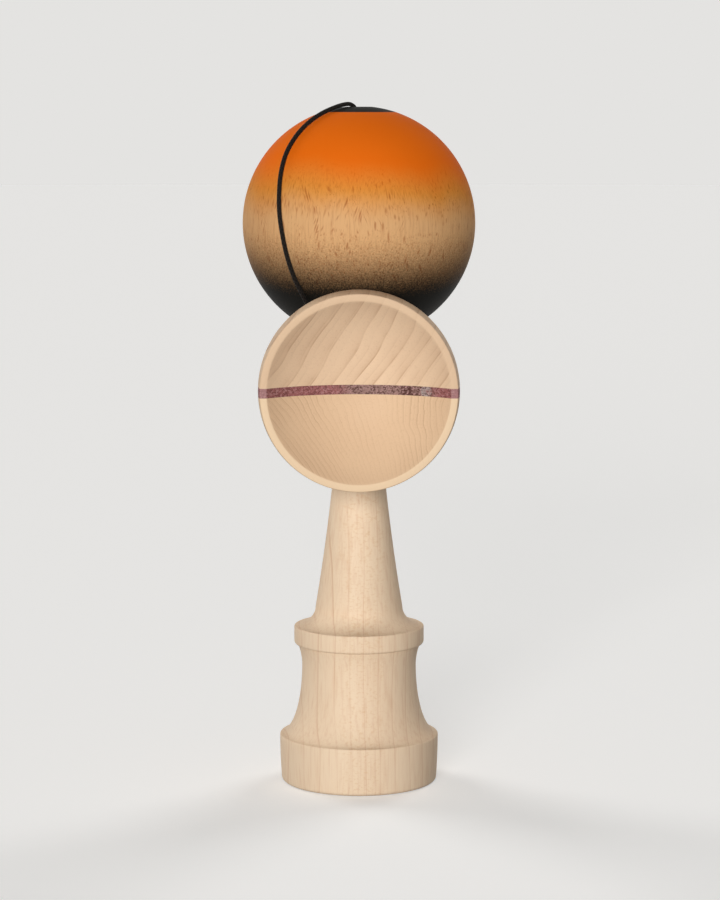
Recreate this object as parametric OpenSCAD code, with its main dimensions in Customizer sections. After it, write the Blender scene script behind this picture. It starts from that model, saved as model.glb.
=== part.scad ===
// Kendama: a turned handle (ken), a laminated crosspiece with two cups (sarado), a drilled ball
// (tama) that sits on the handle's spike, and the string that joins the ball to the handle.
// Millimetres. The origin is the centre of the base's rest ring, +Z runs up the handle, and the
// big cup faces -Y.

/* [Ken base] */
// Radius of the base at its shoulder
base_r = 20.8; // [18.5:0.1:23]
// Radius of the base just above its rounded foot
base_foot_r = 20.4; // [18:0.05:22.8]
// Height of the base shoulder
base_h = 12.4; // [10:0.1:15]
// Rounding of the foot's outer edge
foot_round = 1; // [0.5:0.1:1.5]
// Width of the flat ring that the base stands on
foot_flat = 1.4; // [1:0.1:2]
// Depth of the cup in the underside of the base
base_cup_depth = 8.8; // [6:0.1:10]

/* [Ken handle] */
// Radius of the waist between base and ring
waist_r = 14.95; // [13:0.05:16]
// Height of the waist
waist_z = 30.6; // [27:0.1:33]
// Widening of the waist where it meets the ring
waist_flare = 1.1; // [0.3:0.05:1.3]
// Radius of the ring
ring_r = 17; // [16:0.1:19]
// Height of the ring's underside
ring_z = 36.4; // [34.5:0.1:38]
// Thickness of the ring
ring_h = 4.8; // [3.8:0.1:6.5]
// Rounding of the ring's lower corner
ring_round = 0.8; // [0.4:0.1:1.2]
// Radius of the handle at the top of the cove above the ring
neck_r = 11.38; // [10:0.02:12.5]
// Rise of the cove above the ring
neck_rise = 5; // [3.5:0.1:6]
// Radius of the grip, at the grip height
grip_r = 7.26; // [6.9:0.02:8.5]
// Height of the grip's slim part
grip_z = 75.7; // [70:0.1:80]

/* [Ken taper and spike] */
// Radius of the taper at the height of the sarado's axis
taper_r = 6.25; // [5.5:0.05:6.8]
// Loss of radius per millimetre of height along the taper
taper_slope = 0.015; // [0.008:0.001:0.02]
// Height of the spike above the barrel of the sarado
spike_len = 37.4; // [32:0.1:40]
// Radius of the spike just below its rounded tip
spike_tip_r = 3; // [2.2:0.1:3.6]
// Height of the rounded tip
spike_tip_h = 2.6; // [1.5:0.1:4]

/* [Sarado] */
// Height of the sarado's axis
sarado_z = 105.9; // [100:0.1:112]
// Length from rim to rim
sarado_len = 74; // [68:0.5:80]
// Radius of the barrel
barrel_r = 12.7; // [11.5:0.1:13.5]
// Length of the straight part of the barrel
barrel_len = 20; // [17:0.5:23]
// Width of each cup's outer wall, from rim to shoulder
cup_wall = 8.7; // [7:0.1:10]
// Outer radius of the big cup's rim
big_rim_r = 24.53; // [23:0.01:26]
// Radius of the big cup's shoulder
big_shoulder_r = 25.2; // [24.5:0.1:27]
// Depth of the big cup
big_depth = 10.5; // [8:0.1:12]
// Outer radius of the small cup's rim
small_rim_r = 21; // [19:0.1:22.5]
// Radius of the small cup's shoulder
small_shoulder_r = 21.7; // [21:0.1:24]
// Depth of the small cup
small_depth = 8.5; // [6:0.1:10]
// Width of the flat rims
rim_w = 1.75; // [1:0.05:2.5]
// Thickness of the coloured layer
stripe_t = 2.4; // [1.5:0.1:4]

/* [Tama] */
// Diameter of the ball
tama_d = 60; // [57:0.5:64]
// Diameter of the hole for the spike
hole_d = 20.4; // [18:0.1:22]
// Width of the bevel round the hole's mouth
bevel_w = 2; // [1.4:0.1:2.6]

/* [String and bead] */
// Diameter of the string
string_d = 1.1; // [0.9:0.05:1.3]
// Diameter of the bead
bead_d = 8; // [6.5:0.1:10]
// Height of the bead
bead_h = 7; // [5.5:0.1:8]
// Diameter of each knot
knot_d = 3.2; // [2.8:0.1:3.6]
// Length of each knot
knot_len = 3.2; // [2.8:0.1:3.6]
// Radial step from the string to each knot's flat ends
knot_step = 0.35; // [0.2:0.05:0.5]
// Depth that the knot under the bead sits in it
knot_sink = 2; // [1:0.1:2.5]
// Drop of the string's side hole below the sarado's axis
side_drop = 4.5; // [4:0.1:6]
// Width of the countersink round the string's holes
sink_w = 1.8; // [1.4:0.1:2.2]
// Turns of the string round the barrel behind the big cup
wind_turns = 3; // [2:1:3]

/* [Fits] */
// Radial clearance of the sarado's tapered bore on the handle
taper_fit = 0.05; // [0.02:0.01:0.1]
// Gap between the ball and the barrel that it sits on
seat_gap = 0.26; // [0.2:0.02:0.4]
// Gap between the bead and the end of the ball's hole, and between the bead and its knot
bead_gap = 0.3; // [0.2:0.05:0.5]
// Gap between the spike's tip and the knot above it
tip_gap = 1; // [0.6:0.1:1.5]
// Radial clearance of the string in the holes that it passes through
string_fit = 0.65; // [0.45:0.05:0.85]
// Gap between the string and the wood that it lies on
lay_gap = 0.2; // [0.15:0.05:0.3]

/* [Hidden] */
$fn = 96;
curve_steps = 14;
over = 1;

maple = "#ECD3B2";
purple_wood = "#8F5F58";
orange_paint = "#DE7A24";
bead_wood = "#D8B98A";
black_cord = "#26211E";

// Handle heights and radii
foot_edge_r = base_foot_r - foot_round;
base_cup_r = foot_edge_r - foot_flat;
ring_foot_r = min(waist_r + waist_flare, ring_r - ring_round);
ring_top_z = ring_z + ring_h;
neck_z = ring_top_z + neck_rise;
seat_low_z = sarado_z - barrel_r - over;
crown_z = sarado_z + barrel_r;
seat_high_z = crown_z + over;
tip_z = crown_z + spike_len;

// Slopes of the handle's outline where its two long curves start and meet
neck_slope = -0.166;
grip_slope = -0.111;

// Distances along the sarado from its middle
rim_s = sarado_len / 2;
shoulder_s = rim_s - cup_wall;
barrel_half = barrel_len / 2;
cove_len = shoulder_s - barrel_half;
on_axis = [0, 0, sarado_z];

// The ball sits on the barrel at the edge of its bevel
tama_r = tama_d / 2;
hole_r = hole_d / 2;
mouth_r = hole_r + bevel_w;
seat_r = max(cove_r(mouth_r, big_shoulder_r), cove_r(mouth_r, small_shoulder_r));
mouth_z = sarado_z + seat_r + seat_gap;
tama_z = mouth_z + sqrt(tama_r * tama_r - mouth_r * mouth_r);
tama_top_z = tama_z + tama_r;
tama_low_z = tama_z - tama_r - over;

// Knot, bead and the end of the ball's hole, stacked above the spike's tip
knot_r = knot_d / 2;
knot_low_z = tip_z + tip_gap;
knot_top_z = knot_low_z + knot_len;
bead_low_z = knot_top_z + bead_gap - knot_sink;
bead_top_z = bead_low_z + bead_h;
hole_end_z = bead_top_z + bead_gap;

// Holes for the string and for the knot in the handle
string_r = string_d / 2;
string_hole_r = string_r + string_fit;
lay_r = string_r + lay_gap;
side_hole_z = sarado_z - side_drop;
side_face_x = sqrt(barrel_r * barrel_r - side_drop * side_drop);
knot_seat_x = 1;
knot_pocket_r = knot_r + string_fit;

// Angle left of the front at which the string leaves the ball's top hole, and the shares of the
// countersink's width at which it lies over the cone
leave_angle = 54;
leave_shares = [0.25, 0.8];
// Route of the string over the ball, as [latitude, angle left of the front] in degrees
over_tama = [[83, 53], [76, 50], [66, 50], [56, 50], [46, 49], [36, 47.5], [26, 45], [16, 42.5], [6, 40.5],
             [-4, 38.5], [-14, 37], [-24, 35.5], [-32, 34], [-37, 33.5]];
// Free stretch from the ball to the barrel, as [x, y, height above the sarado's axis]
to_barrel = [[-12.5, -20, 19.6], [-12.3, -20, 16.8], [-12.9, -20.6, 14], [-14.2, -21.6, 11.2],
             [-15.6, -22.4, 8.2], [-16.6, -22.8, 5.4]];
// Stretch along the barrel from the winding to the side hole, in the same terms
along_barrel = [[-14.2, -16.9, -2.8], [-13.5, -15.2, -4.1], [-13, -12.6, -side_drop],
                [-12.8, -8.6, -side_drop], [-12.8, -4.8, -side_drop], [-12.7, -2.7, -side_drop],
                [-12.2, -1.3, -side_drop], [-11.3, -0.4, -side_drop], [-10, 0, -side_drop]];
in_handle = [-6, -2.5, knot_seat_x];

// The winding starts this far from the big cup's shoulder and steps towards the middle
wind_inset = 5.1;
wind_pitch = 1.8;
turn_steps = 24;

function steps(a, b, n) = [for (i = [0 : n]) a + (b - a) * i / n];
function unit(v) = v / norm(v);
function last(p) = p[len(p) - 1];
function after_first(p) = [for (i = [1 : len(p) - 1]) p[i]];
function turned_round(p) = [for (i = [len(p) - 1 : -1 : 0]) p[i]];
function sum(v) = v * [for (x = v) 1];

// Points of an elliptical arc
function arc(cx, cy, rx, ry, a0, a1, n) =
    [for (a = steps(a0, a1, n)) [cx + rx * cos(a), cy + ry * sin(a)]];

// Hollow of a cup from its bottom to its mouth, as [radius, depth below the mouth]
function bowl(mouth, depth) =
    let (ball = (mouth * mouth + depth * depth) / (2 * depth), half = asin(mouth / ball))
    [for (a = steps(0, half, curve_steps)) [ball * sin(a), ball * cos(a) - (ball - depth)]];

// Radius of the sarado at a distance s from its middle, on the side of a given shoulder, and its slope
function cove_r(s, shoulder_r) =
    s <= barrel_half ? barrel_r :
    shoulder_r - (shoulder_r - barrel_r) * sqrt(1 - pow((s - barrel_half) / cove_len, 2));
function cove_slope(s, shoulder_r) =
    let (u = (s - barrel_half) / cove_len)
    (shoulder_r - barrel_r) * u / cove_len / sqrt(1 - u * u);

// One end of the sarado from the barrel to the bottom of its cup, as [radius, distance from the middle]
function cup_outline(shoulder_r, rim_r, depth) = concat(
    arc(shoulder_r, barrel_half, shoulder_r - barrel_r, cove_len, 180, 90, curve_steps),
    [for (t = steps(0.2, 1, 4)) [shoulder_r - (shoulder_r - rim_r) * t * t, shoulder_s + cup_wall * t]],
    [for (b = turned_round(bowl(rim_r - rim_w, depth))) [b[0], rim_s - b[1]]]);

// Radius of the handle's taper at a height
function taper_at(z) = taper_r - taper_slope * (z - sarado_z);

// Radius between two heights, from the radius and the slope at each
function blend_r(z, z0, r0, m0, z1, r1, m1) =
    let (h = z1 - z0, t = (z - z0) / h)
    (2 * t * t * t - 3 * t * t + 1) * r0 + (t * t * t - 2 * t * t + t) * h * m0
    + (3 * t * t - 2 * t * t * t) * r1 + (t * t * t - t * t) * h * m1;

// Handle from the middle of the base cup up to the tip of the spike, as [radius, height]
function ken_outline() = concat(
    bowl(base_cup_r, base_cup_depth),
    arc(foot_edge_r, foot_round, foot_round, foot_round, -90, 0, 5),
    [for (t = steps(0.2, 1, 4))
        [base_r - (base_r - base_foot_r) * (1 - t) * (1 - t), foot_round + (base_h - foot_round) * t]],
    after_first(arc(base_r, waist_z, base_r - waist_r, waist_z - base_h, 270, 180, curve_steps)),
    [for (t = steps(0.25, 1, 3))
        [waist_r + (ring_foot_r - waist_r) * t * t, waist_z + (ring_z - waist_z) * t]],
    arc(ring_r - ring_round, ring_z + ring_round, ring_round, ring_round, -89, 0, 5),
    arc(ring_r, neck_z, ring_r - neck_r, neck_rise, 270, 180, curve_steps),
    [for (z = after_first(steps(neck_z, grip_z, 10)))
        [blend_r(z, neck_z, neck_r, neck_slope, grip_z, grip_r, grip_slope), z]],
    [for (z = after_first(steps(grip_z, seat_low_z, 8)))
        [blend_r(z, grip_z, grip_r, grip_slope, seat_low_z, taper_at(seat_low_z), -taper_slope), z]],
    [[taper_at(seat_high_z), seat_high_z]],
    arc(0, tip_z - spike_tip_h, spike_tip_r, spike_tip_h, 0, 90, 8));

// Smooth curve through the points of a route, with n steps between two points
function spline(p0, p1, p2, p3, t) =
    0.5 * (2 * p1 + (p2 - p0) * t + (2 * p0 - 5 * p1 + 4 * p2 - p3) * t * t
           + (3 * p1 - p0 - 3 * p2 + p3) * t * t * t);
function smooth_route(p, n) = concat(
    [for (i = [0 : len(p) - 2], k = [0 : n - 1])
        spline(p[max(i - 1, 0)], p[i], p[i + 1], p[min(i + 2, len(p) - 1)], k / n)],
    [last(p)]);
function route_length(p) = sum([for (i = [1 : len(p) - 1]) norm(p[i] - p[i - 1])]);

// Directions along a path whose first and last ones are given, and directions square to them
function tangents(p, d0, d1) =
    [for (i = [0 : len(p) - 1]) i == 0 ? d0 : i == len(p) - 1 ? d1 : unit(p[i + 1] - p[i - 1])];
function cross_dirs(t, first) =
    [for (i = 0, n = first; i < len(t); i = i + 1, n = i < len(t) ? unit(n - (n * t[i]) * t[i]) : n) n];

// Centre of the string in the cove, after a count of turns from the left side, downwards first
function wound(turns) =
    let (s = shoulder_s - wind_inset - wind_pitch * turns, m = cove_slope(s, big_shoulder_r),
         lift = lay_r / norm([1, m]), r = cove_r(s, big_shoulder_r) + lift)
    [-r * cos(360 * turns), -(s - lift * m), sarado_z - r * sin(360 * turns)];

wind_start = wound(0);
wind_end = wound(wind_turns);
end_step = [0, 0, string_d];

// Point at a distance from the ball's axis, at an angle left of the front and a height
function left_of_front(flat, angle, z) = [-flat * sin(angle), -flat * cos(angle), z];

// Centre of the string over the countersink of the ball's top hole, at a share of its width
function over_sink(share) =
    let (lift = lay_r / sqrt(2))
    left_of_front(string_hole_r + share * sink_w - lift, leave_angle, tama_top_z - (1 - share) * sink_w + lift);

top_hole_z = tama_top_z - 2 * sink_w;
run_path = smooth_route(concat(
    [for (z = [knot_top_z, knot_top_z + string_d, bead_top_z, (bead_top_z + top_hole_z) / 2, top_hole_z])
        [0, 0, z]],
    [for (share = leave_shares) over_sink(share)],
    [for (p = over_tama)
        let (r = tama_r + lay_r) left_of_front(r * cos(p[0]), p[1], tama_z + r * sin(p[0]))],
    [for (p = to_barrel) p + on_axis],
    [wind_start + 2 * end_step, wind_start + end_step]), 2);
winding_path = concat(
    [wind_start + end_step],
    [for (i = [0 : wind_turns * turn_steps]) wound(i / turn_steps)],
    [wind_end - end_step]);
tail_path = smooth_route(concat(
    [wind_end - end_step],
    [for (p = along_barrel) p + on_axis],
    [for (x = in_handle) [x, 0, side_hole_z]]), 2);

// Least gap of the winding to itself, half a turn or more along, and of the run to the winding
self_gaps = [for (i = [0 : len(winding_path) - 1], j = [i + turn_steps / 2 : len(winding_path) - 1])
    norm(winding_path[i] - winding_path[j]) - string_d];
run_gaps = [for (i = [0 : len(run_path) - 6], q = winding_path) norm(run_path[i] - q) - string_d];
echo(winding_gap_to_itself = min(self_gaps), run_gap_to_winding = min(run_gaps));
echo(run_length = route_length(run_path), winding_length = route_length(winding_path),
     tail_length = route_length(tail_path));

// Round cord along a path, square to its first and last directions
module cord(path, d0, d1, first, sides) {
    t = tangents(path, d0, d1);
    n = cross_dirs(t, first);
    top = (len(path) - 1) * sides;
    points = [for (i = [0 : len(path) - 1], k = [0 : sides - 1])
        let (a = 360 * k / sides)
        path[i] + string_r * (cos(a) * n[i] + sin(a) * cross(t[i], n[i]))];
    walls = [for (i = [0 : len(path) - 2], k = [0 : sides - 1], half = [0, 1])
        let (m = (k + 1) % sides, low = i * sides, high = low + sides)
        half == 0 ? [low + k, high + k, high + m] : [low + k, high + m, low + m]];
    start_cap = [for (k = [1 : sides - 2]) [0, k, k + 1]];
    end_cap = [for (k = [1 : sides - 2]) [top, top + k + 1, top + k]];
    polyhedron(points, concat(walls, start_cap, end_cap), convexity = 10);
}

// Knot with flat ends, standing on its lower one
module knot() {
    end_r = string_r + knot_step;
    bulge = [for (t = steps(0, 1, 8)) [end_r + (knot_r - end_r) * sin(180 * t), knot_len * t]];
    rotate_extrude() polygon(concat([[0, 0]], bulge, [[0, knot_len]]));
}

module ken() {
    color(maple) difference() {
        rotate_extrude() polygon(ken_outline());
        translate([knot_seat_x, 0, side_hole_z]) rotate([0, -90, 0])
            cylinder(h = taper_r + 2 * over, r = string_hole_r);
        translate([knot_seat_x, 0, side_hole_z]) rotate([0, 90, 0])
            cylinder(h = taper_r + over, r = knot_pocket_r);
    }
}

// Whole crosspiece with its tapered bore and the string's countersunk side hole
module sarado_blank() {
    big = cup_outline(big_shoulder_r, big_rim_r, big_depth);
    small = [for (p = cup_outline(small_shoulder_r, small_rim_r, small_depth)) [p[0], -p[1]]];
    difference() {
        translate(on_axis) rotate([90, 0, 0]) rotate_extrude() polygon(concat(big, turned_round(small)));
        translate([0, 0, seat_low_z])
            cylinder(h = seat_high_z - seat_low_z,
                     r1 = taper_at(seat_low_z) + taper_fit, r2 = taper_at(seat_high_z) + taper_fit);
        translate([0, 0, side_hole_z]) rotate([0, -90, 0]) {
            cylinder(h = barrel_r + over, r = string_hole_r);
            translate([0, 0, side_face_x - sink_w])
                cylinder(h = 2 * sink_w, r1 = string_hole_r, r2 = string_hole_r + 2 * sink_w);
        }
    }
}

// Part of the crosspiece between two heights measured from its axis
module sarado_layer(low, high) {
    width = 2 * (max(big_shoulder_r, small_shoulder_r) + over);
    length = sarado_len + 2 * over;
    intersection() {
        sarado_blank();
        translate([-width / 2, -length / 2, sarado_z + low]) cube([width, length, high - low]);
    }
}

module sarado_upper_half() {
    color(maple) sarado_layer(stripe_t / 2, big_shoulder_r + over);
}

module sarado_stripe() {
    color(purple_wood) sarado_layer(-stripe_t / 2, stripe_t / 2);
}

module sarado_lower_half() {
    color(maple) sarado_layer(-big_shoulder_r - over, -stripe_t / 2);
}

module tama() {
    bevel_top_z = mouth_z + bevel_w;
    color(orange_paint) difference() {
        translate([0, 0, tama_z]) sphere(r = tama_r);
        translate([0, 0, tama_low_z]) cylinder(h = hole_end_z - tama_low_z, r = hole_r);
        translate([0, 0, tama_low_z])
            cylinder(h = bevel_top_z - tama_low_z, r1 = hole_r + bevel_top_z - tama_low_z, r2 = hole_r);
        translate([0, 0, tama_z]) cylinder(h = tama_r + over, r = string_hole_r);
        translate([0, 0, tama_top_z - sink_w])
            cylinder(h = 2 * sink_w, r1 = string_hole_r, r2 = string_hole_r + 2 * sink_w);
    }
}

module tama_bead() {
    bead_r = bead_d / 2;
    round_r = bead_h / 4;
    socket_r = knot_r + bead_gap;
    color(bead_wood) rotate_extrude() polygon(concat(
        [[string_hole_r, bead_low_z + knot_sink], [socket_r, bead_low_z + knot_sink], [socket_r, bead_low_z]],
        arc(bead_r - round_r, bead_low_z + round_r, round_r, round_r, -90, 0, 6),
        arc(bead_r - round_r, bead_top_z - round_r, round_r, round_r, 0, 90, 6),
        [[string_hole_r, bead_top_z]]));
}

module tama_knot() {
    color(black_cord) translate([0, 0, knot_low_z]) knot();
}

module ken_knot() {
    color(black_cord) translate([knot_seat_x, 0, side_hole_z]) rotate([0, 90, 0]) knot();
}

module string_run() {
    color(black_cord) cord(run_path, [0, 0, 1], [0, 0, -1], [1, 0, 0], 8);
}

module string_winding() {
    color(black_cord) cord(winding_path, [0, 0, -1], [0, 0, -1], [1, 0, 0], 6);
}

module string_tail() {
    color(black_cord) cord(tail_path, [0, 0, -1], [1, 0, 0], [1, 0, 0], 8);
}

ken();
sarado_upper_half();
sarado_stripe();
sarado_lower_half();
tama();
tama_bead();
tama_knot();
string_run();
string_winding();
string_tail();
ken_knot();
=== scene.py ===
import math

import bmesh
import bpy
from bpy.props import FloatProperty, FloatVectorProperty, PointerProperty
from mathutils import Matrix, Vector


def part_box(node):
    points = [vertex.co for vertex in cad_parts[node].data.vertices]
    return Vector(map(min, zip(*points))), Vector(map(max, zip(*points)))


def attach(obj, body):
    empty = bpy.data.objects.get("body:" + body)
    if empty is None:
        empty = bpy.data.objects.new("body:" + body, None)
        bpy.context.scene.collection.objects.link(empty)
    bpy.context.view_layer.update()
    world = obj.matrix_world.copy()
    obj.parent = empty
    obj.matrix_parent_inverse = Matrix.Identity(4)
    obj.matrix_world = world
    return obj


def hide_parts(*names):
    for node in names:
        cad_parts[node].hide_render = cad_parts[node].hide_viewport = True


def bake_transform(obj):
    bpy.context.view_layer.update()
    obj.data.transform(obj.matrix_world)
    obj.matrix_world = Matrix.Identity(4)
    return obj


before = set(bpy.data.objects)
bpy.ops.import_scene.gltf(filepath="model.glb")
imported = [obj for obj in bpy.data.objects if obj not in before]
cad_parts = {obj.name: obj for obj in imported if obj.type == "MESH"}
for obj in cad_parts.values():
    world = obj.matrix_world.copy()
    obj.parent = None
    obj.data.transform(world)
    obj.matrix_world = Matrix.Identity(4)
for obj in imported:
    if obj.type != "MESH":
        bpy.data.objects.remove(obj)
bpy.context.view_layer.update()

bl_info = {
    "name": "Kendama",
    "version": (1, 0, 0),
    "blender": (4, 5, 0),
    "location": "3D View > Sidebar > Kendama",
    "description": "Turned wood, painted ball and string of a kendama, set on its frame",
    "category": "Object",
}

MM = 0.001

# Places that the frame gives
STRIPE_LOW, STRIPE_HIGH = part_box("sarado_stripe")
TAMA_LOW, TAMA_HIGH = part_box("tama")
SARADO_Z = (STRIPE_LOW.z + STRIPE_HIGH.z) / 2
SARADO_LEN = STRIPE_HIGH.y - STRIPE_LOW.y
TAMA_R = (TAMA_HIGH.x - TAMA_LOW.x) / 2
TIP_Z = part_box("ken")[1].z
KNOT_LOW, KNOT_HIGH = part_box("tama_knot")
KEN_KNOT_LOW, KEN_KNOT_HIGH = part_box("ken_knot")
BEAD_LOW, BEAD_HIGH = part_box("tama_bead")
SIDE_HOLE_Z = (KEN_KNOT_LOW.z + KEN_KNOT_HIGH.z) / 2

# Steps of a full turn, the ball's skin, a long curve, a corner, a rounding, an edge and the holes
SPIN_STEPS = 160
SKIN_STEPS = 110
CURVE_STEPS = 24
CORNER_STEPS = 8
ROUND_STEPS = 10
EDGE_STEPS = 4
HOLE_STEPS = 64
BORE_STEPS = 96
# Edges that turn by more than this stay crisp
SHARP_ANGLE = math.radians(38)
# Points that lie closer than this are one, or lie on a cutting plane
MERGE_DIST = 1e-6
PLANE_DIST = 1e-7
# Room round the bead, length of the taper past the barrel, and reach of a cutter past the wood
BEAD_GAP = 0.3 * MM
SEAT_RUN = 1 * MM
CUT_REACH = 2 * MM


def length(name, description, size):
    """Length property whose default is given in millimetres."""
    return FloatProperty(name=name, description=description, default=size * MM, min=0, precision=5,
                         subtype="DISTANCE", unit="LENGTH")


def linear(level):
    """Linear value of one sRGB byte."""
    share = level / 255
    return share / 12.92 if share <= 0.04045 else ((share + 0.055) / 1.055) ** 2.4


def colour(name, description, red, green, blue):
    """Colour property whose default is given in sRGB bytes."""
    return FloatVectorProperty(name=name, description=description, size=3, min=0, max=1, subtype="COLOR",
                               default=[linear(red), linear(green), linear(blue)])


class KenSizes(bpy.types.PropertyGroup):
    """Sizes of the handle"""
    base_r: length("Base radius", "Radius of the base at its shoulder", 20.8)
    foot_r: length("Foot radius", "Radius of the base just above its rounded foot", 20.4)
    base_h: length("Base height", "Height of the base shoulder", 12.4)
    foot_round: length("Foot rounding", "Rounding of the foot's outer edge", 1)
    foot_flat: length("Foot ring", "Width of the flat ring that the base stands on", 1.4)
    cup_depth: length("Base cup depth", "Depth of the cup under the base", 8.8)
    waist_r: length("Waist radius", "Radius of the waist between base and ring", 14.95)
    waist_z: length("Waist height", "Height of the waist", 30.6)
    waist_flare: length("Waist flare", "Widening of the waist where it meets the ring", 1.1)
    ring_r: length("Ring radius", "Radius of the ring", 17)
    ring_z: length("Ring height", "Height of the ring's underside", 36.4)
    ring_h: length("Ring thickness", "Thickness of the ring", 4.8)
    ring_round: length("Ring rounding", "Rounding of the ring's lower corner", 0.8)
    neck_r: length("Neck radius", "Radius at the top of the cove above the ring", 11.38)
    neck_rise: length("Neck rise", "Rise of the cove above the ring", 5)
    grip_r: length("Grip radius", "Radius of the grip's slim part", 7.26)
    grip_z: length("Grip height", "Height of the grip's slim part", 75.7)
    taper_r: length("Taper radius", "Radius of the taper at the sarado's axis", 6.25)
    tip_r: length("Tip radius", "Radius of the spike just below its rounded tip", 3)
    tip_h: length("Tip height", "Height of the rounded tip", 2.6)
    edge: length("Edge rounding", "Rounding of the crisp edges", 0.35)
    taper_slope: FloatProperty(name="Taper slope", description="Loss of radius with height along the taper",
                               default=0.015)
    neck_slope: FloatProperty(name="Neck slope", description="Slope of the outline above the neck",
                              default=-0.166)
    grip_slope: FloatProperty(name="Grip slope", description="Slope of the outline at the grip",
                              default=-0.111)


class SaradoSizes(bpy.types.PropertyGroup):
    """Sizes of the crosspiece with its two cups"""
    barrel_r: length("Barrel radius", "Radius of the barrel", 12.7)
    barrel_len: length("Barrel length", "Length of the straight part of the barrel", 20)
    cup_wall: length("Cup wall", "Width of each cup's outer wall, from rim to shoulder", 8.7)
    big_rim_r: length("Big rim radius", "Outer radius of the big cup's rim", 24.53)
    big_shoulder_r: length("Big shoulder radius", "Radius of the big cup's shoulder", 25.2)
    big_depth: length("Big cup depth", "Depth of the big cup", 10.5)
    small_rim_r: length("Small rim radius", "Outer radius of the small cup's rim", 21)
    small_shoulder_r: length("Small shoulder radius", "Radius of the small cup's shoulder", 21.7)
    small_depth: length("Small cup depth", "Depth of the small cup", 8.5)
    rim_w: length("Rim width", "Width of the flat rims", 1.75)
    bore_fit: length("Bore fit", "Radial clearance of the bore on the handle", 0.05)
    rim_edge: length("Rim edge", "Rounding of the rims' edges", 0.25)
    shoulder_edge: length("Shoulder edge", "Rounding of the shoulders' edges", 0.3)


class TamaSizes(bpy.types.PropertyGroup):
    """Sizes of the ball's hole and of its paint"""
    hole_r: length("Hole radius", "Radius of the hole for the spike", 10.2)
    bevel_w: length("Bevel width", "Width of the bevel round the hole's mouth", 2)
    edge: length("Edge rounding", "Rounding of the hole's edges", 0.3)
    cap_r: length("Cap radius", "Radius of the black cap at the top", 9.5)
    orange_high: length("Orange top", "Height above the centre where the orange is full", 17.5)
    orange_low: length("Orange end", "Height above the centre where the orange ends", 7)
    amber_high: length("Amber top", "Height above the centre where the amber glaze is full", 10)
    amber_low: length("Amber end", "Height above the centre where the amber glaze ends", 0)
    black_high: length("Black fade top", "Depth below the centre where the black fade starts", 1)
    black_low: length("Black fade end", "Depth below the centre where the black is full", 18)


class StringSizes(bpy.types.PropertyGroup):
    """Sizes of the string and of its holes"""
    diameter: length("String diameter", "Diameter of the string", 1.1)
    lay_gap: length("Lay gap", "Gap between the string and the wood that it lies on", 0.2)
    hole_r: length("String hole radius", "Radius of the holes that the string passes through", 1.2)
    sink_w: length("Countersink width", "Width of the countersink round the string's holes", 1.8)
    pocket_r: length("Knot pocket radius", "Radius of the pocket for the knot in the handle", 2.25)
    wind_inset: length("Winding inset", "Distance of the winding from the big cup's shoulder", 5.1)
    wind_pitch: length("Winding pitch", "Step of the winding towards the middle in each turn", 1.8)
    knot_strand: length("Knot strand", "Diameter of the tightened string in the knots", 0.78)
    link_d: length("Link diameter", "Diameter of the string between the handle's hole and the sarado's", 0.9)
    link_h: length("Link height", "Height of that link, which stretches as the sarado is pulled off", 1.9)


class KendamaColours(bpy.types.PropertyGroup):
    """Colours of the woods, the paint, the string and the floor"""
    maple: colour("Maple", "Handle's pale wood", 243, 217, 186)
    maple_line: colour("Maple line", "Growth lines of the handle", 214, 166, 128)
    maple_fleck: colour("Maple flecks", "Small ray flecks of the handle", 222, 178, 128)
    cup_maple: colour("Upper cup maple", "Wood of the crosspiece's upper half", 236, 206, 173)
    low_maple: colour("Lower cup maple", "Wood of the crosspiece's lower half", 229, 196, 160)
    cup_line: colour("Cup line", "Growth lines of the cups", 168, 124, 92)
    # The rims' colours are partly the wood of two boards and partly painted light: painted shade darkens the
    # upper rim under the ball, and painted light brightens the lower rim.
    upper_rim_wood_and_shade: colour("Upper rim", "Sanded rims of the crosspiece's upper half, darkened by painted shade", 224, 190, 155)
    lower_rim_wood_and_light: colour("Lower rim", "Sanded rims of the crosspiece's lower half, lightened by painted light", 241, 211, 174)
    stripe: colour("Stripe", "Wine-red layer of the crosspiece", 153, 97, 96)
    stripe_dark: colour("Stripe pores", "Dark pores of the wine-red layer", 78, 46, 42)
    stripe_pale: colour("Stripe rays", "Pale rays of the wine-red layer", 190, 148, 146)
    stripe_grey: colour("Stripe grey", "Greyer stretch of the wine-red layer", 146, 122, 112)
    stripe_patch: colour("Stripe patch", "Small pale patch beside the wine-red layer's knot", 172, 160, 156)
    beech: colour("Beech", "Bare wood of the ball", 222, 173, 121)
    beech_fleck: colour("Beech flecks", "Short brown pores of the ball's wood", 163, 95, 52)
    amber: colour("Amber glaze", "Thin orange paint, as a glaze over the ball's wood", 255, 214, 134)
    orange: colour("Orange", "Paint on the upper part of the ball", 237, 110, 18)
    black: colour("Black", "Paint on the cap and the lower part of the ball", 20, 19, 16)
    bead: colour("Bead wood", "Wood of the bead", 216, 185, 138)
    cord: colour("String", "Black string", 18, 15, 13)
    # Painted highlight: a lighter colour on the raised strands that stands in for the light they catch.
    cord_strand_highlight: colour("String strands", "Painted highlight on the raised strands of the string", 44, 38, 33)
    floor: colour("Floor", "Floor and background", 228, 227, 225)


def opaque(tint):
    """Colour of three parts with full opacity."""
    return (*tint, 1.0)


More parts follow.
